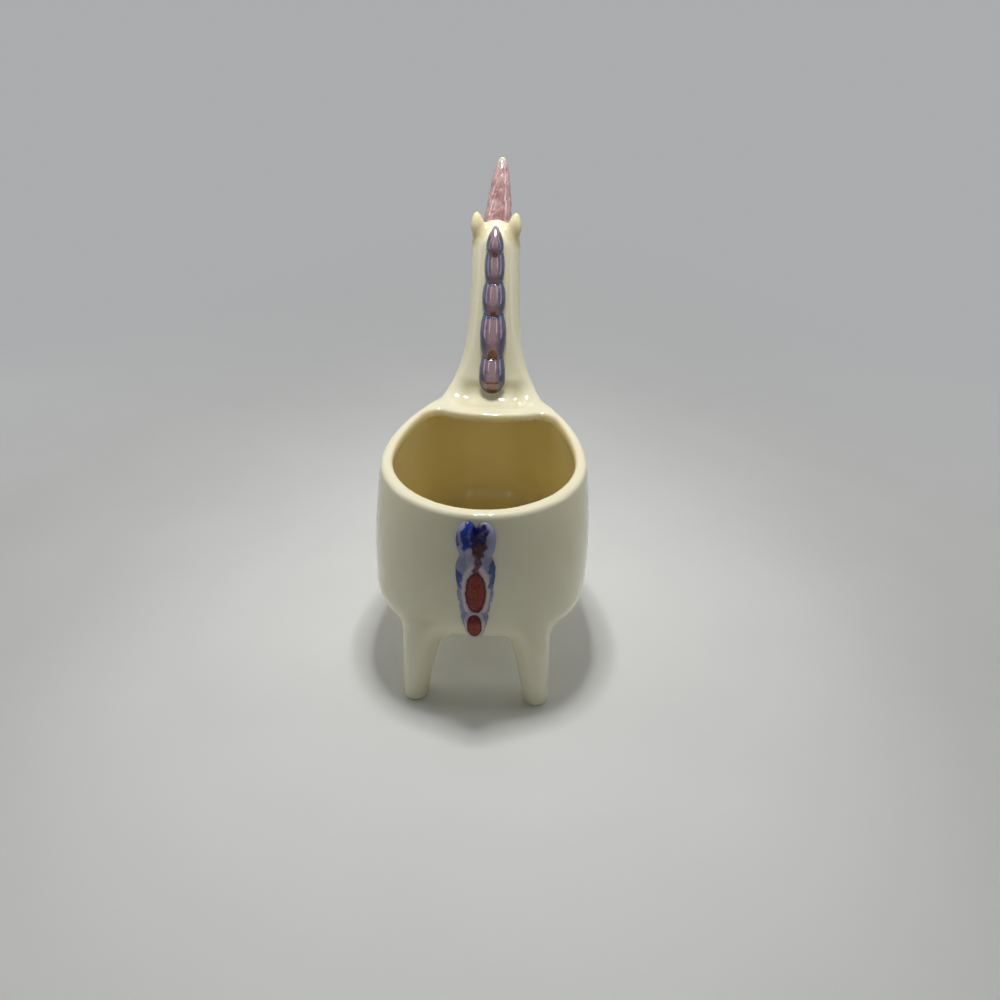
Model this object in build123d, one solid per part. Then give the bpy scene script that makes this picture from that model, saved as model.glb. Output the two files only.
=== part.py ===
from build123d import *
import math
import os

# Unicorn planter of glazed earthenware, luted together from separately formed pieces.
# Millimetres and degrees. The animal faces -Y, its tail is at +Y and its feet stand on z = 0.
# Lengths along the body are reckoned from the widest station of the pot, then the whole is centred.

# Pot
pot_half_width = 49.0        # half of the widest girth
pot_rear_reach = 48.5        # from the widest station to the rear wall
pot_front_reach = 79.5       # from the widest station to the chest
pot_widest_height = 58.0
belly_height = 34.0          # clear height under the belly
belly_tuck = 15.0            # how far the belly draws in as it turns under
belly_turn = 16.0            # height of that turn
rim_height = 104.6           # over the widest station
rim_rise = 5.7               # slope of the rim towards the neck
rim_draw = 4.0               # how far the wall leans in at the rim
wall = 4.9
rim_round_share = 0.36       # rounding of the rim's edges, as a share of the wall
floor_thickness = 6.0
deck_thickness = 4.6         # of the shelf that carries the neck
rim_corner = 0.55            # fullness of the plan's quarter curves: 0.55 is an ellipse
belly_corner = 0.74
chest_corner = 0.45

# Mouth
shelf_depth = 14.5           # from the back of the neck to the middle of the lip
lip_radius = 64.0            # the lip bows towards the tail
mouth_corner_radius = 9.0

# Neck
neck_depth = 22.0            # back to front, at the shelf
neck_half_width = 11.3       # where it is slimmest
neck_height = 72.0           # from the shelf to the spring of the crown
neck_flare = 14.5            # extra half width at the shelf
neck_flare_fall = 16.0       # height over which the flare fades
neck_heel = 8.5              # how far the back of the neck runs out on the shelf
neck_heel_fall = 4.5
neck_lean = 0.05             # forward for each millimetre of height
neck_seat = 3.0              # how far the neck is carried below the shelf before it is fitted to the pot
neck_widest_share = 0.2      # of the depth, from the back to the widest place, at the shelf
crown_widest_share = 0.45    # the same at the crown
crown_height = 11.5
throat_corner = 0.55

# Head
head_length = 46.0
head_droop = 36.0            # below level
head_drop = 2.0              # of the head's root below the spring of the crown
cheek_half_width = 10.2
cheek_half_depth = 12.4
muzzle_half_width = 7.8
muzzle_half_depth = 7.8
face_waist = 0.06            # share by which the face draws in before the muzzle
nose_round = 8.5             # length of the rounded nose
nostril_radius = 1.2
nostril_spacing = 6.4
nostril_setback = 2.6        # behind the tip of the nose

# Horn
horn_length = 33.0
horn_radius = 7.3
horn_fullness = 2.2          # 2 is a parabola, more is fuller
horn_tilt = 14.0             # forward
horn_lean = 2.5              # to the animal's right
horn_flutes = 4
horn_flute_depth = 0.05      # share of the local radius
horn_turns = 1.6
horn_tip = 0.96              # share at which the tip is blunt
horn_drop = 6.5              # from the top of the crown down to the horn's root
horn_setback = 4.0           # of the root behind the neck's front line

# Ears
ear_length = 13.6
ear_radius = 3.15
ear_widest_share = 0.56      # of the length, from the root to the widest place
ear_point = 0.4              # fullness of the pointed tip
ear_splay = 4.0              # outward
ear_bite = 3.2               # of the root inside the neck's side
ear_drop = 9.6               # of the root below the top of the crown
ear_setback = 6.5            # of the root in front of the neck's back
ear_hollow_scale = 0.58      # size of the hollow over that of the ear
ear_hollow_offset = 2.3

# Legs
foot_radius = 5.6
foot_round_share = 0.25      # rounding of the foot's edge, as a share of its radius
leg_top_radius = 8.0         # under the belly
leg_flare = 6.0              # extra radius at the root
leg_flare_fall = 7.0
leg_flare_shift = 0.9        # how far the flare leans in under the pot, over its extra radius
leg_root_height = 12.0       # of the root above the belly
foot_half_spacing = 27.8
leg_top_half_spacing = 24.6
rear_foot_setback = 8.8      # from the rear wall
front_foot_setback = 26.0    # from the chest
leg_rake = 2.0               # how far a leg's top stands nearer to the middle than its foot

# Mane: beads down the back of the neck, from the crown to the shelf
mane_top_gap = 1.9           # below the top of the crown
mane_foot_gap = 0.8          # above the shelf
mane_shares = [9.5, 14.4, 14.4, 19.9, 22.5]
mane_half_widths = [4.1, 4.9, 5.7, 6.5, 6.7]
mane_sink = 1.8              # of a bead's axis inside the back of the neck
mane_point_sink = 0.9        # the same for the first bead
mane_overlap = 1.6           # reach of a bead over its share of the row
mane_point = 0.3             # fullness of the first bead's pointed end
mane_point_share = 0.7       # of the first bead's length, from its point to its widest place
mane_point_tilt = 15.0       # of the first bead, over the crown
mane_lift = 5.0              # tilt of the others, which lifts their lower ends

# Tail: a plait laid down the rear wall, from the rim to the belly
tail_top_gap = 2.0           # below the rim
tail_foot_gap = 5.6          # above the belly
tail_knot_share = 0.24       # of the tail's length
tail_middle_share = 0.485
tail_knot_radius = 4.7
tail_knot_sink = 1.2
tail_knot_spacing = 6.9
tail_knot_widest = 0.62      # of the knot's length, from its top to its widest place
tail_middle_radius = 9.7
tail_middle_sink = 5.5
tail_middle_widest = 0.3
tail_end_radius = 7.4
tail_end_sink = 3.8
tail_end_widest = 0.2
tail_end_tilt = 14.0         # follows the turn of the belly
tail_lap = 1.6               # reach of a lobe under or over its neighbour, over its own share of the length

# Sections through which the curved forms are drawn
ELLIPSE_CORNER = 0.5523      # handle length of a quarter ellipse drawn as one cubic curve
BELLY_TURNS = (90, 72, 54, 36, 18)
DOME_TURNS = (13, 26, 38, 49, 59, 68, 76, 82, 87)
WALL_STEPS = 12
NECK_STEPS = 26
FACE_STEPS = 7
HORN_STEPS = 16
LEG_STEPS = 8
NEAR = 0.01                  # two things this close are taken as touching


def quarter(start, end, corner, fullness):
    """One quarter curve from start to end that swells towards the corner."""
    a, b, c = Vector(start), Vector(end), Vector(corner)
    return Bezier(a, a + (c - a) * fullness, b + (c - b) * fullness, b)


def oval(z, half, y_wide, rear, front, rear_corner, front_corner):
    """A level section: widest at y_wide, with its own reach and fullness to the rear and to the front."""
    right = (half, y_wide, z)
    left = (-half, y_wide, z)
    back = (0, y_wide + rear, z)
    tip = (0, y_wide - front, z)
    return make_face([
        quarter(right, back, (half, y_wide + rear, z), rear_corner),
        quarter(back, left, (-half, y_wide + rear, z), rear_corner),
        quarter(left, tip, (-half, y_wide - front, z), front_corner),
        quarter(tip, right, (half, y_wide - front, z), front_corner),
    ])


def rim_z(y):
    """Height of the sloping rim plane at a station."""
    return rim_height - y * math.tan(math.radians(rim_rise))


def rim_plane(drop=0.0):
    """The rim's plane, or one that lies a drop below it, with its normal upwards."""
    slope = math.radians(rim_rise)
    return Plane(origin=(0, 0, rim_height - drop / math.cos(slope)), x_dir=(1, 0, 0),
                 z_dir=(0, math.sin(slope), math.cos(slope)))


def draw_in(z):
    """How far the pot's wall, above the belly's turn, stands inside the widest girth at a height."""
    return rim_draw * ((z - pot_widest_height) / (rim_height - pot_widest_height)) ** 2


def pot_section(z, inset):
    """Level section of the pot, inset from its outer wall."""
    drawn = draw_in(z) + inset
    low = min(1.0, max(0.0, (rim_height - z) / (rim_height - belly_height)))
    rear_corner = rim_corner + (belly_corner - rim_corner) * low
    front_corner = chest_corner + (belly_corner - chest_corner) * low
    return oval(z, pot_half_width - drawn, 0, pot_rear_reach - drawn, pot_front_reach - drawn,
                rear_corner, front_corner)


def pot_form(bottom, inset):
    """The pot's closed form, from the turn of its belly to a level above the whole rim."""
    top = rim_z(-pot_front_reach) + wall
    turn_top = bottom + belly_turn
    sections = []
    for turn in BELLY_TURNS:
        angle = math.radians(turn)
        tuck = belly_tuck * (1 - math.cos(angle))
        sections.append(pot_section(turn_top - belly_turn * math.sin(angle), inset + tuck))
    for step in range(WALL_STEPS + 1):
        sections.append(pot_section(turn_top + (top - turn_top) * step / WALL_STEPS, inset))
    return loft(sections)


def on_plane(edge, plane):
    """Whether an edge lies in a plane."""
    return all(abs(plane.to_local_coords(edge @ t).Z) < NEAR for t in (0, 0.5, 1))


neck_front_y = draw_in(rim_z(-pot_front_reach)) - pot_front_reach
neck_back_y = neck_front_y + neck_depth
neck_foot_z = rim_z(neck_back_y)
crown_top = neck_height + crown_height

# Pot: the closed form cut by the rim's slope, its cavity below the shelf, and its mouth behind the shelf
pot_blank = split(pot_form(belly_height, 0.0), bisect_by=rim_plane(), keep=Keep.BOTTOM)
cavity = split(pot_form(belly_height + floor_thickness, wall), bisect_by=rim_plane(deck_thickness),
               keep=Keep.BOTTOM)
shelf_edge = Pos(0, neck_back_y + shelf_depth - lip_radius, rim_height) * Circle(lip_radius)
mouth_outline = pot_section(rim_height, wall) - shelf_edge
mouth_ends = mouth_outline.vertices().sort_by(Axis.Y)[:2]
mouth_outline = fillet(mouth_ends, mouth_corner_radius)
mouth_rise = rim_z(-pot_front_reach) - rim_height + wall
mouth_fall = rim_height - rim_z(pot_rear_reach) + 2 * deck_thickness
mouth = extrude(mouth_outline, mouth_rise) + extrude(mouth_outline, -mouth_fall)
pot = pot_blank - cavity - mouth
pot = fillet(pot.edges().filter_by(lambda e: on_plane(e, rim_plane())), rim_round_share * wall)


def neck_half(h):
    """Half width of the neck at a height above the shelf."""
    return neck_half_width + neck_flare * math.exp(-h / neck_flare_fall)


def neck_back(h):
    """Station of the back of the neck at a height above the shelf."""
    return neck_back_y + neck_heel * math.exp(-h / neck_heel_fall) - neck_lean * h


def neck_front(h):
    """Station of the front of the neck at a height above the shelf."""
    return neck_front_y - neck_lean * max(0.0, h)


def neck_section(h, shrink=1.0):
    """Level section of the neck. Near the shelf it is widest towards the back."""
    settled = 1 - math.exp(-max(0.0, h) / neck_flare_fall)
    depth = neck_back(h) - neck_front(h)
    y_wide = neck_back(h) - depth * (neck_widest_share + (crown_widest_share - neck_widest_share) * settled)
    front_corner = chest_corner + (throat_corner - chest_corner) * settled
    return oval(neck_foot_z + h, neck_half(h) * shrink, y_wide, (neck_back(h) - y_wide) * shrink,
                (y_wide - neck_front(h)) * shrink, ELLIPSE_CORNER, front_corner)


def crown_section(turn):
    """Section of the crown, which closes over the neck as a quarter ellipse from 0 to 90 degrees."""
    spring = neck_section(neck_height, math.cos(math.radians(turn)))
    return Pos(0, 0, crown_height * math.sin(math.radians(turn))) * spring


# Neck: flared where it stands on the shelf, with the crown closed over it
neck_span = neck_height + neck_seat
neck_sections = [neck_section(neck_span * step / NECK_STEPS - neck_seat) for step in range(NECK_STEPS + 1)]
neck = loft(neck_sections + [crown_section(turn) for turn in DOME_TURNS])
neck = neck - pot_blank

# Head: from inside the crown forward to a rounded nose
head_axis = Vector(0, -math.cos(math.radians(head_droop)), -math.sin(math.radians(head_droop)))
face_length = head_length - nose_round
head_root = Vector(0, (neck_back(neck_height) + neck_front(neck_height)) / 2,
                   neck_foot_z + neck_height - head_drop)


def head_section(distance, half_width, half_depth):
    """A section square to the head's axis."""
    return Plane(origin=head_root + head_axis * distance, x_dir=(1, 0, 0), z_dir=head_axis) * Ellipse(
        half_width, half_depth)


def face_section(share):
    """A section part of the way from cheek to muzzle, drawn in a little before the muzzle."""
    ease = (1 - math.cos(math.pi * share)) / 2
    waist = 1 - face_waist * math.sin(math.pi * share ** 2) ** 2
    half_width = cheek_half_width + (muzzle_half_width - cheek_half_width) * ease
    half_depth = cheek_half_depth + (muzzle_half_depth - cheek_half_depth) * ease
    return head_section(face_length * share, half_width * waist, half_depth * waist)


def nose_section(turn):
    """A section of the nose, which closes over the muzzle as a quarter ellipse."""
    shrink = math.cos(math.radians(turn))
    distance = face_length + nose_round * math.sin(math.radians(turn))
    return head_section(distance, muzzle_half_width * shrink, muzzle_half_depth * shrink)


head_sections = [face_section(step / FACE_STEPS) for step in range(FACE_STEPS + 1)]
head = loft(head_sections + [nose_section(turn) for turn in DOME_TURNS]) - neck
nose_tip = head_root + head_axis * head_length
for side in (-1, 1):
    nostril = Pos(side * nostril_spacing / 2, nose_tip.Y + nostril_setback, nose_tip.Z + nostril_setback)
    head = head - nostril * Sphere(nostril_radius)

# Horn: a full cone whose flutes wind up to the tip
horn_root = Vector(0, neck_front(neck_height) + horn_setback, neck_foot_z + crown_top - horn_drop)
horn_plane = Plane(origin=horn_root, x_dir=(1, 0, 0), z_dir=(0, 0, 1)).rotated((horn_tilt, -horn_lean, 0))


def horn_section(share):
    """A scalloped section: the radius falls evenly while the height grows along a full curve."""
    radius = horn_radius * (1 - share)
    valley = radius * (1 - horn_flute_depth)
    height = horn_length * (1 - (1 - share) ** horn_fullness)
    arcs = []
    for flute in range(horn_flutes):
        start, middle, end = [math.radians(360 / horn_flutes * (flute + step)) for step in (0, 0.5, 1)]
        arcs.append(ThreePointArc((valley * math.cos(start), valley * math.sin(start)),
                                  (radius * math.cos(middle), radius * math.sin(middle)),
                                  (valley * math.cos(end), valley * math.sin(end))))
    turned = Pos(0, 0, height) * Rot(0, 0, 360 * horn_turns * share)
    return horn_plane.location * turned * make_face(arcs)


horn = loft([horn_section(horn_tip * step / HORN_STEPS) for step in range(HORN_STEPS + 1)])
horn = horn - neck - head


def bead(radius, below, above, point=ELLIPSE_CORNER):
    """A turned bead about the vertical, widest at z = 0, with a round or a pointed upper end. Its seam faces -Y."""
    lower = quarter((0, 0, -below), (0, -radius, 0), (0, -radius, -below), ELLIPSE_CORNER)
    upper = quarter((0, -radius, 0), (0, 0, above), (0, -radius, above), point)
    return revolve(make_face([lower, upper, Line((0, 0, above), (0, 0, -below))]), Axis.Z)


# Ears: pointed petals at the sides of the crown, hollowed in front
ear_below = ear_length * ear_widest_share
petal = bead(ear_radius, ear_below, ear_length - ear_below, ear_point)
petal = petal - Pos(0, -ear_hollow_offset, 0) * scale(petal, by=ear_hollow_scale)
ear_root = Pos(neck_half_width - ear_bite, neck_back(neck_height) - ear_setback,
               neck_foot_z + crown_top - ear_drop)
ear = ear_root * Rot(0, ear_splay, 0) * Pos(0, 0, ear_below) * petal - neck - head
ears = {"ear_left": ear, "ear_right": mirror(ear, about=Plane.YZ)}


def leg(foot_y, rake):
    """One left leg from the floor up into the belly's flare, cut to the pot."""
    root = belly_height + leg_root_height
    inward = math.copysign(1, rake)
    sections = []
    for step in range(LEG_STEPS + 1):
        z = root * step / LEG_STEPS
        rise = z / belly_height
        flare = leg_flare * math.exp((z - root) / leg_flare_fall)
        radius = foot_radius + (leg_top_radius - foot_radius) * rise + flare
        x = foot_half_spacing + (leg_top_half_spacing - foot_half_spacing) * rise - leg_flare_shift * flare
        y = foot_y + rake * rise + inward * leg_flare_shift * flare
        sections.append(Pos(x, y, z) * Circle(radius))
    blank = loft(sections)
    blank = fillet(blank.edges().sort_by(Axis.Z)[0], foot_round_share * foot_radius)
    return blank - pot_blank


# Legs: tapered, splayed a little and flared into the belly
rear_leg = leg(pot_rear_reach - rear_foot_setback, -leg_rake)
front_leg = leg(front_foot_setback - pot_front_reach, leg_rake)
legs = {
    "leg_rear_left": rear_leg,
    "leg_rear_right": mirror(rear_leg, about=Plane.YZ),
    "leg_front_left": front_leg,
    "leg_front_right": mirror(front_leg, about=Plane.YZ),
}

# Mane: each bead laps over the next one down
mane = {}
mane_span = crown_top - mane_top_gap - mane_foot_gap
mane_lean = math.degrees(math.atan(neck_lean))
bead_top = crown_top - mane_top_gap
last_bead = len(mane_shares) - 1
above_beads = []
for index, (share, half_width) in enumerate(zip(mane_shares, mane_half_widths)):
    length = mane_span * share / sum(mane_shares)
    above = length / 2 if index else length * mane_point_share
    below = length - above
    middle = bead_top - above
    shape = bead(half_width, below if index == last_bead else below * mane_overlap,
                 above * mane_overlap if index else above, ELLIPSE_CORNER if index else mane_point)
    tilt = mane_lean + (mane_lift if index else mane_point_tilt)
    axis_y = neck_back(min(middle, neck_height)) - (mane_sink if index else mane_point_sink)
    shape = Pos(0, axis_y, neck_foot_z + middle) * Rot(tilt, 0, 0) * shape
    piece = shape - neck - pot_blank
    for upper in above_beads:
        piece = piece - upper
    mane[f"mane_bead_{index + 1}"] = piece
    above_beads.append(shape)
    bead_top -= length

# Tail: two knot lobes, a long middle lobe and an end lobe, each lapped by the one above
tail_top = rim_z(pot_rear_reach) - tail_top_gap
tail_span = tail_top - belly_height - tail_foot_gap
knot_length = tail_span * tail_knot_share
middle_length = tail_span * tail_middle_share
end_length = tail_span - knot_length - middle_length


def tail_lobe(top, length, radius, sink, widest, over_above, over_below, x=0.0, tilt=0.0):
    """One lobe of the plait, sunk in the rear wall, and carried on over or under its neighbours."""
    above = length * widest
    below = length - above
    middle = top - above
    y = pot_rear_reach - draw_in(middle) - sink
    shape = bead(radius, below * over_below, above * over_above)
    return Pos(x, y, middle) * Rot(-tilt, 0, 0) * shape


knot = tail_lobe(tail_top, knot_length, tail_knot_radius, tail_knot_sink, tail_knot_widest, 1, tail_lap,
                 x=tail_knot_spacing / 2)
knot_left = split(knot, bisect_by=Plane.YZ, keep=Keep.TOP)
knot_right = mirror(knot_left, about=Plane.YZ)
middle_lobe = tail_lobe(tail_top - knot_length, middle_length, tail_middle_radius, tail_middle_sink,
                        tail_middle_widest, tail_lap, tail_lap)
end_lobe = tail_lobe(tail_top - knot_length - middle_length, end_length, tail_end_radius, tail_end_sink,
                     tail_end_widest, tail_lap, 1, tilt=tail_end_tilt)
tail = {
    "tail_knot_left": knot_left - pot_blank,
    "tail_knot_right": mirror(knot_left - pot_blank, about=Plane.YZ),
    "tail_middle": middle_lobe - pot_blank - knot_left - knot_right,
    "tail_end": end_lobe - pot_blank - middle_lobe,
}

# Centre the whole on the middle of its footprint and write one file for each piece
pieces = {"pot": pot, "neck": neck, "head": head, "horn": horn, **ears, **legs, **mane, **tail}
boxes = [piece.bounding_box() for piece in pieces.values()]
centre_y = (min(box.min.Y for box in boxes) + max(box.max.Y for box in boxes)) / 2
os.makedirs("parts", exist_ok=True)
for name, piece in pieces.items():
    export_step(Pos(0, -centre_y, 0) * piece, f"parts/{name}.step")
print("pieces", len(pieces), "centre moved by", round(-centre_y, 3))
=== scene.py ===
"""Dresses the frame of a unicorn planter.

The body gets a cream glaze, the horn and the mane get lustres, and the tail is painted.
"""
import math

import bmesh
import bpy
import numpy as np
from bpy.props import FloatProperty, FloatVectorProperty, IntProperty, PointerProperty
from mathutils import Matrix, Vector
from mathutils.bvhtree import BVHTree


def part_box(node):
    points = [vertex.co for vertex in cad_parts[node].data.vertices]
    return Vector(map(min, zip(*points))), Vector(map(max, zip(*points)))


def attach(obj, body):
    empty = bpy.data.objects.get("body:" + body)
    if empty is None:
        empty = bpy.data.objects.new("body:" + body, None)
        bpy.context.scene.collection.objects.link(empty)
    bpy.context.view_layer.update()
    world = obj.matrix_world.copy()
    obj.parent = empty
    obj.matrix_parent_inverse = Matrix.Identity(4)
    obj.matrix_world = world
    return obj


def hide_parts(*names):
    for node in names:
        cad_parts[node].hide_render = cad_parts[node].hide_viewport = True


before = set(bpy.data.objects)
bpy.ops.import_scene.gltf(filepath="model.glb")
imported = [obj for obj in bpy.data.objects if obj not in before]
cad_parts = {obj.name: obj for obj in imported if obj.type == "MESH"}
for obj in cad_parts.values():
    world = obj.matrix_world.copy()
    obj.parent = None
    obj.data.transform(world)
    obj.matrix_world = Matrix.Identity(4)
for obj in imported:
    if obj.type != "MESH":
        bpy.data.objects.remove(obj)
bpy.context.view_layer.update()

bl_info = {
    "name": "Unicorn planter",
    "version": (1, 0, 0),
    "blender": (4, 5, 0),
    "location": "3D View > Sidebar > Planter",
    "description": "Glazes, lustres and paints a unicorn planter over its frame",
    "category": "Object",
}

LEGS = ("leg_rear_left", "leg_rear_right", "leg_front_left", "leg_front_right")
EARS = ("ear_left", "ear_right")
BODY_PIECES = ("pot", "neck", "head") + EARS + LEGS
MANE_BEADS = tuple(f"mane_bead_{number}" for number in range(1, 6))
TAIL_PIECES = ("tail_knot_left", "tail_knot_right", "tail_middle", "tail_end")

SEAM = 1e-6
EAR_SKIN = 0.0008


def display(red, green, blue):
    """A colour given as it shows on a screen, 0 to 255, in the linear form that shaders use."""
    channels = []
    for value in (red, green, blue):
        level = value / 255
        channels.append(level / 12.92 if level <= 0.04045 else ((level + 0.055) / 1.055) ** 2.4)
    return tuple(channels)


def length(name, description, default):
    """A length property, in metres."""
    return FloatProperty(name=name, description=description, default=default, unit="LENGTH", precision=5)


def share(name, description, default):
    """A property between 0 and 1."""
    return FloatProperty(
        name=name, description=description, default=default, min=0, max=1, subtype="FACTOR")


def tone(name, description, *channels):
    """A colour property, given as it shows on a screen."""
    return FloatVectorProperty(
        name=name, description=description, default=display(*channels), size=3, min=0, max=1,
        subtype="COLOR")


class PlanterSizes(bpy.types.PropertyGroup):
    """Sizes of the glaze skin, the lustred beads, the painted tail and the stage."""
    skin_step: length("Skin step", "Grid step of the glaze skin", 0.0009)
    detail_step: length("Detail step", "Grid step of the horn, the mane and the tail", 0.0003)
    leg_blend: length("Leg blend", "How far the fill between a leg and the belly runs", 0.014)
    neck_blend: length("Neck blend", "How far the fill between the neck and the pot runs", 0.007)
    head_blend: length("Head blend", "How far the fill between the head and the neck runs", 0.007)
    ear_blend: length("Ear blend", "How far the fill round the foot of an ear runs", 0.0022)
    # Ear pool: reach of the pooled glaze and painted shade round the foot of an ear
    ear_pool_and_shade: length("Ear pool", "How far the glaze pools round the foot of an ear", 0.0034)
    eye_width: length("Eye width", "Width of a painted eye", 0.0038)
    eye_height: length("Eye height", "Height of a painted eye", 0.0052)
    nostril_radius: length("Nostril radius", "Radius of a painted nostril", 0.0011)
    heel_depth: length("Heel depth", "How far the hollow between neck and shelf is drawn in", 0.0038)
    fill_rounds: IntProperty(
        name="Fill rounds", description="How often the fill is drawn over", default=90, min=0)
    first_bead_tip: length("First bead tip", "How far the first bead's point is drawn up", 0.0009)
    first_bead_stretch: length(
        "First bead stretch", "How far the first bead is drawn down over the next", 0.0032)
    first_bead_lift: length("First bead lift", "How far the first bead's lower end stands out", 0.001)
    tail_blend: length("Tail blend", "How far the fill between the tail's lobes runs", 0.005)
    tail_step: length("Tail step", "Grid step of the tail", 0.0004)
    tail_reach: length("Tail reach", "How far the tail's end is drawn down", 0.0012)
    ring_height: length("Tail ring height", "How far the white ring stands up on the tail", 0.0004)
    backdrop_gap: length("Backdrop gap", "Distance from the planter to the backdrop", 0.75)
    fade_start: length("Fade start", "Distance at which the floor starts to run into the room", 0.3)
    fade_end: length("Fade end", "Distance at which only the room is seen", 0.68)
    lamp_height: length("Lamp height", "Height of the lamp frame over the floor", 0.4)
    room_tone: share("Room tone", "How pale the room is behind the floor and in reflections", 0.42)
    room_fill: share("Room fill", "How much light the room gives", 0.03)


class PlanterColours(bpy.types.PropertyGroup):
    """Colours of the glaze, the lustres and the paint."""
    cream: tone("Cream", "Glaze over the body", 236, 230, 198)
    # Pale cream: glaze thinned over an edge, and also the painted highlight on the horn's tip
    cream_pale: tone("Pale cream", "Glaze where it thins over an edge", 241, 237, 213)
    # Deep cream: pooled glaze and specks, and also painted shade in the creases and over the backs of the
    # ears
    cream_deep: tone("Deep cream", "Glaze where it pools", 212, 200, 152)
    # Inside: painted shade, a deeper yellow cream that stands for the shade and bounced light inside the
    # pot and under the shelf
    inside: tone("Inside", "Glaze inside the pot", 226, 212, 162)
    rose: tone("Rose", "Pink lustre of the horn", 208, 174, 170)
    rose_deep: tone("Deep rose", "Pink lustre in the horn's grooves", 164, 118, 117)
    # Mane colours: the lustre's own copper and blue, laid out by place on each bead as a painted iridescent
    # sheen; plum low on a bead and the darker slate flanks are painted reflection
    copper: tone("Copper", "Lustre along the middle of a mane bead", 180, 148, 156)
    plum: tone("Plum", "Lustre low on a mane bead", 102, 62, 60)
    slate: tone("Slate blue", "Lustre on the flanks of a mane bead", 76, 74, 106)
    # Teal: painted sheen in the mane's joints, and real paint on the tail's right flank
    teal: tone("Teal", "Blue-green between the mane beads and on the tail's right flank", 62, 84, 124)
    cobalt: tone("Cobalt", "Blue of the tail's left knot", 22, 48, 138)
    navy: tone("Navy", "Dark blue of the tail's right knot", 14, 13, 70)
    umber: tone("Umber", "Brown between the tail's knots", 82, 36, 42)
    oxblood: tone("Oxblood", "Red in the middle of the tail's lobes", 158, 62, 44)
    oxblood_deep: tone("Deep oxblood", "Dark strokes in that red", 84, 22, 18)
    lilac: tone("Lilac", "Edge of the tail", 138, 142, 172)
    milk: tone("Milk", "White rings of the tail", 196, 186, 188)
    eye: tone("Eye", "Painted eye and nostril", 36, 30, 34)
    board: tone("Floor", "Floor and backdrop", 238, 239, 237)


class Clay:
    """The points of a skin while it is shaped."""

    def __init__(self, mesh):
        self.mesh = mesh
        self.count = len(mesh.vertices)
        points = np.empty(self.count * 3, np.float32)
        mesh.vertices.foreach_get("co", points)
        self.points = points.reshape(-1, 3).astype(float)
        edges = np.empty(len(mesh.edges) * 2, np.int32)
        mesh.edges.foreach_get("vertices", edges)
        self.edges = edges.reshape(-1, 2)
        mesh.calc_loop_triangles()
        corners = np.empty(len(mesh.loop_triangles) * 3, np.int32)
        mesh.loop_triangles.foreach_get("vertices", corners)
        self.corners = corners.reshape(-1, 3)
        self.degree = np.maximum(np.bincount(self.edges.ravel(), minlength=self.count), 1)

    def gathered(self, places, values):
        """The sum of the values that fall on each point."""
        return np.stack([np.bincount(places, column, self.count) for column in values.T], 1)

    def around(self, values):
        """The mean of each point's neighbours."""
        grid = values.reshape(self.count, -1)
        first, second = self.edges.T
        total = self.gathered(first, grid[second]) + self.gathered(second, grid[first])
        return (total / self.degree[:, None]).reshape(values.shape)

    def normals(self):
        """The outward direction at each point."""
        first, second, third = (self.points[self.corners[:, corner]] for corner in range(3))
        across = np.cross(second - first, third - first)
        total = sum(self.gathered(self.corners[:, corner], across) for corner in range(3))
        return total / np.maximum(np.linalg.norm(total, axis=1, keepdims=True), 1e-20)

    def fill(self, weight, rounds):
        """Fills the hollow lines between pieces, as slip does, and leaves the round edges alone."""
        for turn in range(rounds):
            if turn % 5 == 0:
                outward = self.normals()
            pull = self.around(self.points) - self.points
            rise = np.sum(pull * outward, 1, keepdims=True)
            slide = pull - rise * outward
            self.points += 0.7 * weight[:, None] * (np.maximum(rise, 0) * outward + slide)

    def relax(self, rounds):
        """Takes the grid's roughness out without shrinking the shape."""
        for _ in range(rounds):
            for step in (0.5, -0.52):
                self.points += step * (self.around(self.points) - self.points)

    def hollowness(self, rounds):
        """How hollow the skin is at each point, from -1 on a tight edge to 1 in a tight corner."""
        pull = self.around(self.points) - self.points
        first, second = self.edges.T
        span = np.linalg.norm(self.points[first] - self.points[second], axis=1).mean()
        hollow = np.sum(pull * self.normals(), 1) / span
        for _ in range(rounds):
            hollow = self.around(hollow)
        return np.clip(hollow * 12, -1, 1)

    def mark(self, name, values):
        """Keeps one number per point for the finish to read."""
        layer = self.mesh.attributes.new(name, "FLOAT", "POINT")
        layer.data.foreach_set("value", np.asarray(values, np.float32))

    def done(self):
        """Writes the points back to the mesh."""
        self.mesh.vertices.foreach_set("co", self.points.astype(np.float32).ravel())
        self.mesh.polygons.foreach_set("use_smooth", np.ones(len(self.mesh.polygons), bool))
        self.mesh.update()


def joined_copy(nodes):
    """One mesh with the faces of several pieces of the frame."""
    shape = bmesh.new()
    for node in nodes:
        shape.from_mesh(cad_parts[node].data)
    bmesh.ops.remove_doubles(shape, verts=shape.verts, dist=SEAM)
    mesh = bpy.data.meshes.new("copy")
    shape.to_mesh(mesh)
    shape.free()
    return mesh


def even_skin(name, nodes, step):
    """A closed skin round pieces of the frame, with an even grid of faces."""
    source = bpy.data.objects.new("source", joined_copy(nodes))
    bpy.context.scene.collection.objects.link(source)
    grid = source.modifiers.new("grid", "REMESH")
    grid.mode = "VOXEL"
    grid.voxel_size = step
    gridded = source.evaluated_get(bpy.context.evaluated_depsgraph_get())
    mesh = bpy.data.meshes.new_from_object(gridded)
    mesh.name = name
    mesh.materials.clear()
    bpy.data.objects.remove(source)
    return Clay(mesh)


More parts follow.
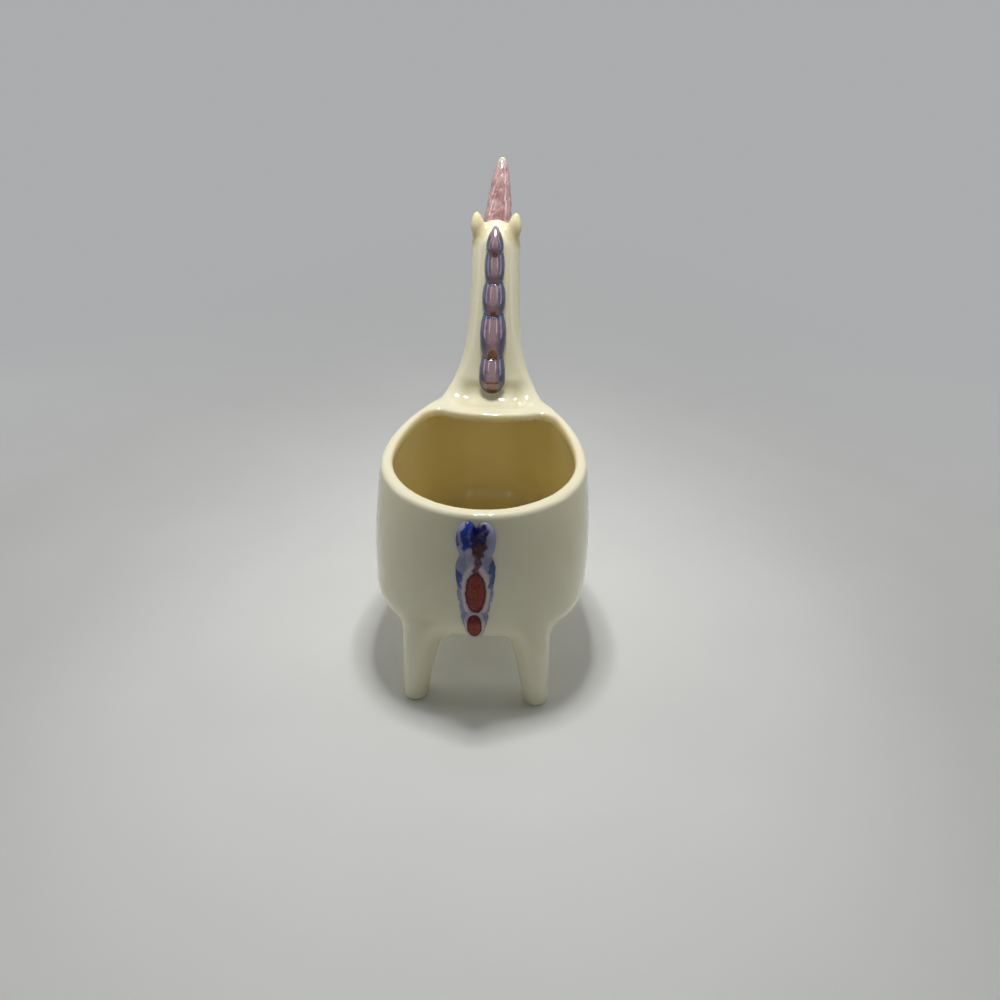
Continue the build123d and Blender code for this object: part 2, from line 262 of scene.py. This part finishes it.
def gaps_to(points, node, reach):
    """The distance from each point to a piece of the frame, or reach where it is further."""
    shape = bmesh.new()
    shape.from_mesh(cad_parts[node].data)
    tree = BVHTree.FromBMesh(shape)
    shape.free()
    low, high = (np.array(corner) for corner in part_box(node))
    near = np.all((points > low - reach) & (points < high + reach), axis=1)
    gaps = np.full(len(points), reach)
    for place in np.flatnonzero(near):
        gap = tree.find_nearest(points[place], reach)[3]
        if gap is not None:
            gaps[place] = gap
    return gaps


def eased(values):
    """Values held between 0 and 1 with soft ends."""
    held = np.clip(values, 0, 1)
    return held * held * (3 - 2 * held)


def place(name, mesh, finish, slot, nodes):
    """Puts a piece on the frame in place of the pieces that it dresses."""
    piece = bpy.data.objects.new(name, mesh)
    mesh.materials.append(finish)
    bpy.context.scene.collection.objects.link(piece)
    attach(piece, "root")
    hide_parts(*nodes)
    return piece


class Finish:
    """A material and short ways to add nodes to it."""

    def __init__(self, name):
        self.material = bpy.data.materials.new(name)
        self.material.use_nodes = True
        self.tree = self.material.node_tree
        self.shader = self.tree.nodes["Principled BSDF"]

    def set(self, **values):
        """Sets the shader's own sockets."""
        for name, value in values.items():
            self.shader.inputs[name.replace("_", " ").title().replace("Ior", "IOR")].default_value = value

    def node(self, kind, *inputs, **settings):
        """Adds a node. An input is a number, a colour or another node's output, or None to leave it."""
        made = self.tree.nodes.new(kind)
        for name, value in settings.items():
            setattr(made, name, value)
        for socket, value in zip(made.inputs, inputs):
            if isinstance(value, bpy.types.NodeSocket):
                self.tree.links.new(value, socket)
            elif value is not None:
                socket.default_value = value
        return made

    def mark(self, name):
        """A number kept on the mesh."""
        return self.node("ShaderNodeAttribute", attribute_name=name).outputs["Fac"]

    def noise(self, scale, detail=2.0, distortion=0.0):
        """Soft cloudy variation. The scale is in ripples per metre."""
        where = self.node("ShaderNodeTexCoord").outputs["Object"]
        made = self.node("ShaderNodeTexNoise", where)
        made.inputs["Scale"].default_value = scale
        made.inputs["Detail"].default_value = detail
        made.inputs["Distortion"].default_value = distortion
        return made.outputs["Fac"]

    def spread(self, value, low, high, start=0.0, end=1.0):
        """A value moved from one range to another and held there."""
        return self.node("ShaderNodeMapRange", value, low, high, start, end).outputs["Result"]

    def maths(self, operation, first, second=None):
        """One sum."""
        return self.node("ShaderNodeMath", first, second, operation=operation).outputs["Value"]

    def mix(self, amount, first, second):
        """A colour between two colours."""
        made = self.node("ShaderNodeMix", data_type="RGBA")
        for socket, value in zip((made.inputs[0], made.inputs[6], made.inputs[7]), (amount, first, second)):
            if isinstance(value, bpy.types.NodeSocket):
                self.tree.links.new(value, socket)
            else:
                socket.default_value = value if isinstance(value, (int, float)) else (*value, 1.0)
        return made.outputs[2]

    def ramp(self, value, *stops):
        """A colour that runs through several stops, each a place from 0 to 1 and a colour."""
        made = self.node("ShaderNodeValToRGB", value)
        line = made.color_ramp.elements
        while len(line) < len(stops):
            line.new(1.0)
        for element, (where, colour) in zip(line, stops):
            element.position = where
            element.color = (*colour, 1.0)
        return made.outputs["Color"]

    def spot(self, centre, radii):
        """1 in a spot on each side of the head, given its centre and its radii along X, Y and Z."""
        where = self.node("ShaderNodeTexCoord").outputs["Object"]
        x, y, z = self.node("ShaderNodeSeparateXYZ", where).outputs
        total = 0.0
        for value, middle, radius in zip((self.maths("ABSOLUTE", x), y, z), centre, radii):
            away = self.maths("DIVIDE", self.maths("SUBTRACT", value, middle), radius)
            total = self.maths("ADD", self.maths("MULTIPLY", away, away), total)
        return self.spread(total, 1.12, 0.88)

    def bump(self, height, depth):
        """Small relief, in metres."""
        made = self.node("ShaderNodeBump")
        made.inputs["Strength"].default_value = 1.0
        made.inputs["Distance"].default_value = depth
        self.tree.links.new(height, made.inputs["Height"])
        self.tree.links.new(made.outputs["Normal"], self.shader.inputs["Normal"])

    def colour(self, output):
        """Sets what colours the finish."""
        self.tree.links.new(output, self.shader.inputs["Base Color"])

    def roughness(self, output):
        """Sets what dulls the finish."""
        self.tree.links.new(output, self.shader.inputs["Roughness"])


def cream_glaze(colours, spots):
    """Glossy cream glaze, paler on edges and deeper where it pools, with painted shade in the creases, on
    the backs of the ears and inside the pot, and painted spots.
    """
    glaze = Finish("cream_glaze")
    clouds = glaze.spread(glaze.noise(38, 3), 0.35, 0.65, 0.0, 0.35)
    coat = glaze.mix(clouds, tuple(colours.cream), tuple(colours.cream_pale))
    # Deeper cream in the hollows: pooled glaze, and painted shade in the creases under the mane, at the
    # feet of the ears and over their backs
    pooled_and_shaded = glaze.spread(glaze.mark("hollow"), 0.05, 0.6, 0.0, 0.8)
    coat = glaze.mix(pooled_and_shaded, coat, tuple(colours.cream_deep))
    thin = glaze.spread(glaze.mark("hollow"), -0.15, -0.8, 0.0, 0.7)
    coat = glaze.mix(thin, coat, tuple(colours.cream_pale))
    # Painted shade inside the pot and under the shelf
    coat = glaze.mix(glaze.mark("inside"), coat, tuple(colours.inside))
    specks = glaze.spread(glaze.noise(900, 1), 0.77, 0.82, 0.0, 0.35)
    coat = glaze.mix(specks, coat, tuple(colours.cream_deep))
    for centre, radii in spots:
        coat = glaze.mix(glaze.spot(centre, radii), coat, tuple(colours.eye))
    glaze.colour(coat)
    glaze.roughness(glaze.spread(glaze.noise(60, 2), 0.3, 0.7, 0.4, 0.5))
    glaze.set(specular_ior_level=0.1, coat_weight=0.9, coat_roughness=0.04)
    glaze.bump(glaze.noise(120, 2), 0.00006)
    return glaze.material


def rose_lustre(colours):
    """Pearly pink lustre, deeper in the grooves, with a painted highlight that pales the tip."""
    lustre = Finish("rose_lustre")
    clouds = lustre.spread(lustre.noise(220, 3, 0.6), 0.35, 0.65)
    tint = lustre.mix(clouds, tuple(colours.rose), tuple(colours.rose_deep))
    grooves = lustre.spread(lustre.mark("hollow"), 0.0, 0.35, 0.0, 0.8)
    tint = lustre.mix(grooves, tint, tuple(colours.rose_deep))
    # Painted highlight: the top of the horn pales towards pale cream
    tip = lustre.spread(lustre.mark("along"), 0.16, 0.0, 0.0, 0.75)
    tint = lustre.mix(tip, tint, tuple(colours.cream_pale))
    lustre.colour(tint)
    lustre.roughness(lustre.spread(lustre.noise(300, 2), 0.3, 0.7, 0.1, 0.22))
    lustre.set(metallic=0.45, coat_weight=1.0, coat_roughness=0.03)
    lustre.bump(lustre.noise(260, 2), 0.0001)
    return lustre.material


def mane_lustre(colours):
    """Metallic lustre whose copper middle, slate blue flanks and teal joints are a painted iridescent sheen
    laid out by place, with plum below as painted reflection.
    """
    lustre = Finish("blue_copper_lustre")
    wander = lustre.spread(lustre.noise(240, 3, 0.8), 0.0, 1.0, -0.22, 0.22)
    across = lustre.maths("ADD", lustre.mark("across"), wander)
    # Painted sheen: copper along the middle turning to slate blue and teal out on the flanks
    flanks = lustre.ramp(
        across,
        (0.0, tuple(colours.copper)),
        (0.22, tuple(colours.copper)),
        (0.62, tuple(colours.slate)),
        (0.8, tuple(colours.slate)),
        (1.0, tuple(colours.teal)))
    # Painted reflection: plum low on the middle of each bead
    low = lustre.spread(lustre.maths("ADD", lustre.mark("along"), wander), 0.45, 0.85)
    low = lustre.maths("MULTIPLY", low, lustre.spread(across, 0.6, 0.3))
    tint = lustre.mix(low, flanks, tuple(colours.plum))
    # Painted sheen: teal at the joints between beads
    tint = lustre.mix(lustre.mark("joint"), tint, tuple(colours.teal))
    lustre.colour(tint)
    lustre.roughness(lustre.spread(lustre.noise(400, 2), 0.3, 0.7, 0.1, 0.2))
    lustre.set(metallic=0.7, coat_weight=1.0, coat_roughness=0.03)
    lustre.bump(lustre.noise(300, 2), 0.00008)
    return lustre.material


def tail_paint(colours):
    """A painted and glazed finish. Marks on the skin give the red, the white rings and the patches."""
    paint = Finish("painted_glaze")
    wander = paint.spread(paint.noise(420, 2, 0.6), 0.0, 1.0, -0.1, 0.1)
    ring = paint.spread(paint.maths("ADD", paint.mark("ring"), wander), 0.0, 2.0)
    strokes = paint.spread(paint.noise(900, 3, 2.0), 0.4, 0.64)
    red = paint.mix(strokes, tuple(colours.oxblood), tuple(colours.oxblood_deep))
    tint = paint.ramp(
        ring,
        (0.0, tuple(colours.oxblood_deep)),
        (0.51, tuple(colours.oxblood_deep)),
        (0.57, tuple(colours.milk)),
        (0.68, tuple(colours.milk)),
        (0.8, tuple(colours.lilac)),
        (1.0, tuple(colours.lilac)))
    tint = paint.mix(paint.spread(ring, 0.48, 0.44), tint, red)
    clouds = paint.spread(paint.noise(300, 2, 0.5), 0.3, 0.5, 0.7, 1.0)
    patches = (
        ("blue", colours.cobalt), ("teal", colours.teal), ("streak", colours.umber), ("dark", colours.navy))
    for name, colour in patches:
        edge = paint.maths("ADD", paint.mark(name), paint.maths("MULTIPLY", wander, 1.6))
        amount = paint.maths("MULTIPLY", paint.spread(edge, 0.15, 0.85), clouds)
        tint = paint.mix(amount, tint, tuple(colour))
    paint.colour(tint)
    paint.roughness(paint.spread(paint.noise(500, 2), 0.3, 0.7, 0.14, 0.3))
    paint.set(specular_ior_level=0.05, coat_weight=0.3, coat_roughness=0.04)
    paint.bump(paint.noise(600, 2), 0.00008)
    return paint.material


HEEL_TOP, HEEL_TOP_SOFT = 0.013, 0.011
HEEL_FOOT, HEEL_FOOT_SOFT = 0.0006, 0.0016
HEEL_SIDE, HEEL_SIDE_SOFT = 0.021, 0.01
HEEL_FRONT, HEEL_BACK, HEEL_SOFT = 0.018, 0.004, 0.004


def heel_rise(points):
    """1 low on the neck, just over the shelf, and 0 further up, below and out to the sides."""
    rise = points[:, 2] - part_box("neck")[0].z
    height = eased((HEEL_TOP - rise) / HEEL_TOP_SOFT) * eased((rise + HEEL_FOOT) / HEEL_FOOT_SOFT)
    return height * eased((HEEL_SIDE - np.abs(points[:, 0])) / HEEL_SIDE_SOFT)


def heel(points):
    """1 in the hollow between the back of the neck and the shelf, and 0 away from it."""
    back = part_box("neck")[1].y
    front = eased((points[:, 1] - back + HEEL_FRONT) / HEEL_SOFT)
    near = front * eased((back + HEEL_BACK - points[:, 1]) / HEEL_SOFT)
    return heel_rise(points) * near


def meeting(first, second, blend):
    """1 where two pieces meet, given the gaps to both, falling to 0 at about the blend's reach."""
    return eased(1.15 - np.maximum(first, second) / blend)


class PLANTER_OT_body(bpy.types.Operator):
    """Draws one cream glaze skin over the pot, neck, head, ears and legs, with their joints filled"""
    bl_idname = "planter.body"
    bl_label = "Glazed body"

    def execute(self, context):
        sizes = context.scene.planter_sizes
        skin = even_skin("glazed_body", BODY_PIECES, sizes.skin_step)
        widest = max(sizes.leg_blend, sizes.neck_blend, sizes.head_blend)
        gaps = {node: gaps_to(skin.points, node, widest) for node in BODY_PIECES}
        joints = [(leg, "pot", sizes.leg_blend) for leg in LEGS]
        joints += [(ear, "neck", sizes.ear_blend) for ear in EARS]
        joints += [("neck", "pot", sizes.neck_blend), ("head", "neck", sizes.head_blend)]
        weight = np.zeros(skin.count)
        for first, second, blend in joints:
            weight = np.maximum(weight, meeting(gaps[first], gaps[second], blend))
        skin.relax(2)
        skin.fill(weight, sizes.fill_rounds)
        skin.points[:, 1] -= sizes.heel_depth * heel(skin.points) * (skin.normals()[:, 1] > 0)
        skin.relax(3)
        # The hollow mark carries both pooled glaze and painted shade
        skin.mark("hollow", np.maximum(skin.hollowness(3), self.pooled_and_shaded(skin, gaps, sizes)))
        # Marks where the painted shade of the pot's inside goes
        skin.mark("inside", self.inside(skin, gaps["pot"]))
        skin.done()
        glaze = cream_glaze(context.scene.planter_colours, self.spots(sizes))
        place("glazed_body", skin.mesh, glaze, "cream_glaze", BODY_PIECES)
        return {"FINISHED"}

    def pooled_and_shaded(self, skin, gaps, sizes):
        """How much deeper cream goes round the feet of the ears, as pooled glaze and painted shade, and
        over their backs, as painted shade.
        """
        feet = np.maximum.reduce([
            eased(1.3 - np.maximum(gaps[ear], gaps["neck"]) / sizes.ear_pool_and_shade) for ear in EARS])
        # Painted shade over the backs of the ears, which face the camera
        ears = np.maximum.reduce([eased(1.5 - gaps[ear] / EAR_SKIN) for ear in EARS])
        return np.maximum(0.8 * feet, ears * eased(skin.normals()[:, 1] + 0.3))

    def inside(self, skin, gap):
        """1 inside the pot, where the inside colour paints shade, and 0 outside it."""
        low, high = (np.array(corner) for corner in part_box("pot"))
        outward = skin.normals()
        middle = (low + high) / 2
        inward = (middle - skin.points)[:, :2]
        inward /= np.maximum(np.linalg.norm(inward, axis=1, keepdims=True), 1e-9)
        facing = np.sum(outward[:, :2] * inward, 1)
        walls = eased((facing - 0.35) / 0.5) * (skin.points[:, 2] > low[2] + 0.006)
        well = np.abs((skin.points - middle)[:, :2]) < (high - low)[:2] / 2 - 0.008
        floor = np.all(well, 1) * (outward[:, 2] > 0.3) * (skin.points[:, 2] < low[2] + 0.03)
        ceiling = (outward[:, 2] < -0.2) * (skin.points[:, 2] > high[2] - 0.03)
        on_pot = (gap < 0.0015) * (skin.points[:, 2] < high[2] + 0.002)
        return np.maximum.reduce([walls, floor, ceiling]) * on_pot

    def spots(self, sizes):
        """Centres and radii of the painted eyes and nostrils."""
        low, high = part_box("head")
        eye = (high.x, low.y + 0.62 * (high.y - low.y), low.z + 0.66 * (high.z - low.z))
        nostril = (0.0032, low.y + 0.004, low.z + 0.0057)
        return [
            (eye, (0.6 * high.x, sizes.eye_width / 2, sizes.eye_height / 2)),
            (nostril, (sizes.nostril_radius, 3 * sizes.nostril_radius, sizes.nostril_radius))]


class PLANTER_OT_horn(bpy.types.Operator):
    """Gives the spiral horn its pink lustre"""
    bl_idname = "planter.horn"
    bl_label = "Lustred horn"

    def execute(self, context):
        sizes = context.scene.planter_sizes
        low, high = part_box("horn")
        skin = even_skin("lustred_horn", ["horn"], sizes.detail_step)
        skin.relax(24)
        skin.mark("hollow", skin.hollowness(2) * 4)
        skin.mark("along", (high.z - skin.points[:, 2]) / (high.z - low.z))
        skin.done()
        lustre = rose_lustre(context.scene.planter_colours)
        place("lustred_horn", skin.mesh, lustre, "pink_lustre", ["horn"])
        return {"FINISHED"}


class PLANTER_OT_mane(bpy.types.Operator):
    """Gives the beads of the mane their blue and copper lustre, laid out as a painted sheen"""
    bl_idname = "planter.mane"
    bl_label = "Lustred mane"

    def execute(self, context):
        sizes = context.scene.planter_sizes
        finish = mane_lustre(context.scene.planter_colours)
        for number, bead in enumerate(MANE_BEADS):
            low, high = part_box(bead)
            skin = even_skin(f"lustred_{bead}", [bead], sizes.detail_step)
            skin.relax(5)
            along = (high.z - skin.points[:, 2]) / (high.z - low.z)
            if not number:
                skin.points[:, 2] += sizes.first_bead_tip - sizes.first_bead_stretch * along
                skin.points[:, 1] += sizes.first_bead_lift * along
            skin.points[:, 1] -= sizes.heel_depth * heel_rise(skin.points)
            # These marks place the painted sheen and painted reflection on each bead
            skin.mark("along", along)
            skin.mark("across", np.abs(skin.points[:, 0]) / high.x)
            ends = np.maximum(0.12 - along, along - 0.94) if number else along - 0.94
            skin.mark("joint", eased(ends / 0.08))
            skin.done()
            place(f"lustred_{bead}", skin.mesh, finish, "blue_copper_lustre", [bead])
        return {"FINISHED"}


TAPER_DROPS = (0.03, 0.038, 0.044, 0.048, 0.051)
TAPER_SIDES = (0.0079, 0.0069, 0.0061, 0.0052, 0.004)
TAIL_END, TAIL_END_SOFT = 0.045, 0.008


class PLANTER_OT_tail(bpy.types.Operator):
    """Draws one painted skin over the knots, the long lobe and the end lobe of the tail"""
    bl_idname = "planter.tail"
    bl_label = "Painted tail"

    def execute(self, context):
        sizes = context.scene.planter_sizes
        skin = even_skin("painted_tail", TAIL_PIECES, sizes.tail_step)
        gaps = [gaps_to(skin.points, node, 2 * sizes.tail_blend) for node in TAIL_PIECES]
        weight = np.zeros(skin.count)
        for first, second in ((0, 2), (1, 2), (2, 3)):
            weight = np.maximum(weight, meeting(gaps[first], gaps[second], sizes.tail_blend))
        skin.relax(2)
        skin.fill(weight, 3 * sizes.fill_rounds)
        skin.relax(4)
        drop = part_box("tail_knot_left")[1].z - skin.points[:, 2]
        skin.points[:, 2] -= sizes.tail_reach * eased((drop - TAIL_END) / TAIL_END_SOFT)
        self.taper(skin, drop)
        skin.relax(3)
        x = skin.points[:, 0]
        rings = self.rings(x, drop)
        outward = skin.normals()
        welt = eased(1 - np.abs(rings - 1.25) / 0.28) - 0.7 * eased((1.02 - rings) / 0.35)
        skin.points += sizes.ring_height * (welt * (outward[:, 1] > 0.2))[:, None] * outward
        skin.mark("ring", rings)
        for name, amount in self.patches(x, drop).items():
            skin.mark(name, amount)
        skin.done()
        paint = tail_paint(context.scene.planter_colours)
        place("painted_tail", skin.mesh, paint, "painted_glaze", TAIL_PIECES)
        return {"FINISHED"}

    def taper(self, skin, drop):
        """Draws the sides of the long lobe and the end lobe to one line that narrows to a round end."""
        drops = np.arange(0.03, 0.0525, 0.0015)
        sides = np.abs(skin.points[:, 0])
        wide = np.array([sides[np.abs(drop - middle) < 0.001].max() for middle in drops])
        wanted = np.interp(drops, TAPER_DROPS, TAPER_SIDES)
        scale = np.clip(wanted / wide, 0.7, 1.6)
        scale[0] = 1.0
        fine = np.linspace(drops[0], drops[-1], 200)
        window = np.hanning(31)
        smooth = np.convolve(np.interp(fine, drops, scale), window / window.sum(), "same")
        ends = len(window) // 2 + 1
        smooth[:ends] = 1.0
        smooth[-ends:] = smooth[-ends - 1]
        skin.points[:, 0] *= np.interp(drop, fine, smooth, left=1.0)

    def rings(self, x, drop):
        """How far out each point is from the two red ovals: 1 at their edge, then the white ring."""
        middle = np.hypot((x + 0.0004) / 0.0039, (drop - 0.0306) / 0.0101)
        end = np.hypot(x / 0.0029, (drop - 0.0476) / 0.0052)
        rings = np.where(drop < 0.0412, middle, end)
        upper = eased((0.0205 - drop) / 0.004)
        outer = 1.5 + 0.4 * eased((np.abs(x) - 0.003) / 0.003)
        return rings * (1 - upper) + outer * upper

    def patches(self, x, drop):
        """The blue, navy and brown patches on the knots and flanks, which differ from side to side."""
        x = x + 0.0005 * np.sin(830 * drop + 1.0) + 0.0003 * np.sin(1900 * drop - 420 * x)
        drop = drop + 0.0008 * np.sin(760 * x + 0.6) + 0.0005 * np.sin(1700 * x + 300 * drop)

        def oval(across, down, width, height):
            """1 in an oval patch with soft edges."""
            return eased((1.25 - np.hypot((x - across) / width, (drop - down) / height)) / 0.5)

        def band(first, last, soft):
            """1 between two heights."""
            return eased((drop - first) / soft + 0.5) * eased((last - drop) / soft + 0.5)

        right_knot = oval(-0.0019, 0.0034, 0.0034, 0.0036)
        between = 0.7 * oval(0.0006, 0.006, 0.0014, 0.005)
        left_knot = oval(0.0029, 0.0052, 0.003, 0.0058)
        left_rim = 0.8 * eased((x - 0.0064) / 0.0008) * band(0.003, 0.0135, 0.004)
        left_flank = eased((x - 0.0048) / 0.0012) * band(0.0205, 0.029, 0.004)
        right_flank = eased((-x - 0.0052) / 0.0014) * band(0.0165, 0.0295, 0.005)
        stripe = 0.8 * eased(1.4 - np.abs(x + 0.0008) / 0.0017) * band(0.011, 0.0215, 0.004)
        return {
            "blue": np.maximum.reduce([left_knot, left_rim, left_flank]),
            "teal": right_flank,
            "dark": np.maximum(right_knot, between),
            "streak": np.maximum(oval(-0.0014, 0.0094, 0.003, 0.0042), stripe),
        }


ROOM_TINT = (0.97, 0.985, 1.0, 1.0)
CAMERA_PLACE = Vector((-0.01689, 0.31011, 0.2408))
CAMERA_AHEAD = Vector((0.03316, -0.99945, 0.0))
CAMERA_PITCH = math.radians(29.2)
CAMERA_ROLL = math.radians(1.68)
CAMERA_LENS = 25.632


def flat_light(name, spot, facing, across, width, depth, glow):
    """A flat soft light. The glow is how bright its face is, where 1 is white."""
    lamp = bpy.data.lights.new(name, "AREA")
    lamp.shape = "RECTANGLE"
    lamp.size = width
    lamp.size_y = depth
    lamp.energy = glow * math.pi * width * depth
    holder = bpy.data.objects.new(name, lamp)
    back = -Vector(facing).normalized()
    right = Vector(across).normalized()
    turned = Matrix((right, back.cross(right), back)).transposed().to_4x4()
    holder.matrix_world = Matrix.Translation(spot) @ turned
    holder.visible_camera = False
    bpy.context.scene.collection.objects.link(holder)
    return holder


def light_frame(name, middle, facing, across, width, depth, strip, glow):
    """Four strips of light round an open rectangle."""
    middle = Vector(middle)
    right = Vector(across).normalized()
    over = (-Vector(facing).normalized()).cross(right)
    for side in (-1, 1):
        post = middle + right * side * width / 2
        flat_light(f"{name}_post_{side}", post, facing, across, strip, depth + strip, glow)
        bar = middle + over * side * depth / 2
        flat_light(f"{name}_bar_{side}", bar, facing, across, width - strip, strip, glow)


def seen_rays(tree):
    """1 for rays that show the room to the camera or in a gloss, and 0 for rays that light things."""
    rays = tree.nodes.new("ShaderNodeLightPath").outputs
    seen = rays["Is Camera Ray"]
    for kind in ("Is Glossy Ray", "Is Transmission Ray"):
        either = tree.nodes.new("ShaderNodeMath")
        either.operation = "MAXIMUM"
        tree.links.new(seen, either.inputs[0])
        tree.links.new(rays[kind], either.inputs[1])
        seen = either.outputs[0]
    return seen


class PLANTER_OT_stage(bpy.types.Operator):
    """Adds the pale floor and backdrop, the soft lights and the camera"""
    bl_idname = "planter.stage"
    bl_label = "Stage"

    def execute(self, context):
        self.sweep(context)
        self.lights(context)
        self.camera(context)
        context.scene.view_settings.view_transform = "Standard"
        return {"FINISHED"}

    def sweep(self, context):
        """A floor that turns up into a backdrop."""
        gap = context.scene.planter_sizes.backdrop_gap
        turn, steps, reach, side = 0.3, 12, 1.6, 1.8
        profile = [(reach, 0.0), (-gap + turn, 0.0)]
        for step in range(1, steps + 1):
            angle = step * math.pi / (2 * steps)
            profile.append((-gap + turn - turn * math.sin(angle), turn - turn * math.cos(angle)))
        profile.append((-gap, reach))
        shape = bmesh.new()
        left, right = ([shape.verts.new((x, y, z)) for y, z in profile] for x in (-side, side))
        for number in range(len(profile) - 1):
            shape.faces.new((left[number], right[number], right[number + 1], left[number + 1]))
        bmesh.ops.recalc_face_normals(shape, faces=shape.faces)
        mesh = bpy.data.meshes.new("floor")
        shape.to_mesh(mesh)
        shape.free()
        for face in mesh.polygons:
            face.use_smooth = True
        floor = bpy.data.objects.new("floor", mesh)
        paint = Finish("floor_paint")
        board = Vector(context.scene.planter_colours.board)
        clouds = paint.spread(paint.noise(9, 3), 0.3, 0.7)
        paint.colour(paint.mix(clouds, tuple(board), tuple(0.96 * board)))
        paint.set(roughness=0.7)
        self.fade(paint, context.scene.planter_sizes)
        mesh.materials.append(paint.material)
        context.scene.collection.objects.link(floor)

    def fade(self, paint, sizes):
        """Lets the far floor and the backdrop run into the pale room."""
        where = paint.node("ShaderNodeTexCoord").outputs["Object"]
        away = paint.node("ShaderNodeVectorMath", where, operation="LENGTH").outputs["Value"]
        far = paint.spread(away, sizes.fade_start, sizes.fade_end)
        far = paint.maths("MULTIPLY", far, seen_rays(paint.tree))
        room = paint.node("ShaderNodeEmission", ROOM_TINT, sizes.room_tone).outputs["Emission"]
        both = paint.node("ShaderNodeMixShader", far, paint.shader.outputs["BSDF"], room).outputs["Shader"]
        paint.tree.links.new(both, paint.tree.nodes["Material Output"].inputs["Surface"])

    def lights(self, context):
        """A lamp frame overhead, panels at the sides, posts behind the camera and washes on the floor."""
        sizes = context.scene.planter_sizes
        right = (1, 0, 0)
        back = (0, 1, 0)
        light_frame(
            "lamp", (0.004, 0.026, sizes.lamp_height), (0, 0, -1), right,
            width=0.036, depth=0.036, strip=0.012, glow=130.0)
        for side, wall in ((-1, 0.24), (1, 0.32)):
            inward = (-side, 0, 0)
            flat_light(
                f"wall_{side}", (side * 0.6, -0.15, 0.3), inward, back,
                width=0.6, depth=0.5, glow=wall)
            flat_light(
                f"panel_{side}", (side * 0.22, 0.035, 0.28), inward, back,
                width=0.07, depth=0.35, glow=1.15)
            flat_light(
                f"post_{side}", (side * 0.2, 0.3, 0.3), (-side, -1.4, -0.6), (1.4, -side, 0),
                width=0.04, depth=0.3, glow=1.2)
        flat_light(
            "wash_back", (0.0, -0.3, 0.95), (0, -1, -0.7), right, width=2.0, depth=0.2, glow=3.4)
        flat_light(
            "wash_front", (0.0, 0.5, 0.6), (0, 0.8, -0.6), right, width=1.6, depth=0.15, glow=2.0)
        for side in (-1, 1):
            flat_light(
                f"wash_{side}", (side * 0.65, -0.05, 0.6), (side * 0.8, 0, -0.6), back,
                width=1.2, depth=0.15, glow=3.0)
        self.room(context)

    def room(self, context):
        """A pale room round the floor, seen by the camera and in gloss, that gives little light."""
        sizes = context.scene.planter_sizes
        world = bpy.data.worlds.new("pale_room")
        world.use_nodes = True
        tree = world.node_tree
        sky = tree.nodes["Background"]
        sky.inputs["Color"].default_value = ROOM_TINT
        level = tree.nodes.new("ShaderNodeMapRange")
        for socket, value in zip(list(level.inputs)[1:5], (0.0, 1.0, sizes.room_fill, sizes.room_tone)):
            socket.default_value = value
        tree.links.new(seen_rays(tree), level.inputs[0])
        tree.links.new(level.outputs[0], sky.inputs["Strength"])
        context.scene.world = world

    def camera(self, context):
        """The camera at the photograph's viewing angle."""
        up = Vector((0, 0, 1))
        right = CAMERA_AHEAD.cross(up).normalized()
        ahead = CAMERA_AHEAD * math.cos(CAMERA_PITCH) - up * math.sin(CAMERA_PITCH)
        over = right.cross(ahead)
        across = right * math.cos(CAMERA_ROLL) + over * math.sin(CAMERA_ROLL)
        upward = over * math.cos(CAMERA_ROLL) - right * math.sin(CAMERA_ROLL)
        view = bpy.data.cameras.new("camera")
        view.sensor_width = 36.0
        view.lens = CAMERA_LENS
        view.clip_start = 0.01
        holder = bpy.data.objects.new("camera", view)
        turned = Matrix((across, upward, -ahead)).transposed().to_4x4()
        holder.matrix_world = Matrix.Translation(CAMERA_PLACE) @ turned
        context.scene.collection.objects.link(holder)
        context.scene.camera = holder


class PLANTER_PT_panel(bpy.types.Panel):
    """Lists the planter's pieces"""
    bl_idname = "PLANTER_PT_panel"
    bl_label = "Unicorn planter"
    bl_space_type = "VIEW_3D"
    bl_region_type = "UI"
    bl_category = "Planter"

    def draw(self, context):
        layout = self.layout
        for maker in MAKERS:
            layout.operator(maker.bl_idname)
        for group in (context.scene.planter_sizes, context.scene.planter_colours):
            column = layout.column()
            for name in group.__annotations__:
                column.prop(group, name)


MAKERS = (PLANTER_OT_body, PLANTER_OT_horn, PLANTER_OT_mane, PLANTER_OT_tail, PLANTER_OT_stage)
CLASSES = (PlanterSizes, PlanterColours) + MAKERS + (PLANTER_PT_panel,)


def register():
    for item in CLASSES:
        bpy.utils.register_class(item)
    bpy.types.Scene.planter_sizes = PointerProperty(type=PlanterSizes)
    bpy.types.Scene.planter_colours = PointerProperty(type=PlanterColours)


def unregister():
    del bpy.types.Scene.planter_colours
    del bpy.types.Scene.planter_sizes
    for item in reversed(CLASSES):
        bpy.utils.unregister_class(item)


def main():
    register()
    bpy.ops.planter.body()
    bpy.ops.planter.horn()
    bpy.ops.planter.mane()
    bpy.ops.planter.tail()
    bpy.ops.planter.stage()


if __name__ == "__main__":
    main()
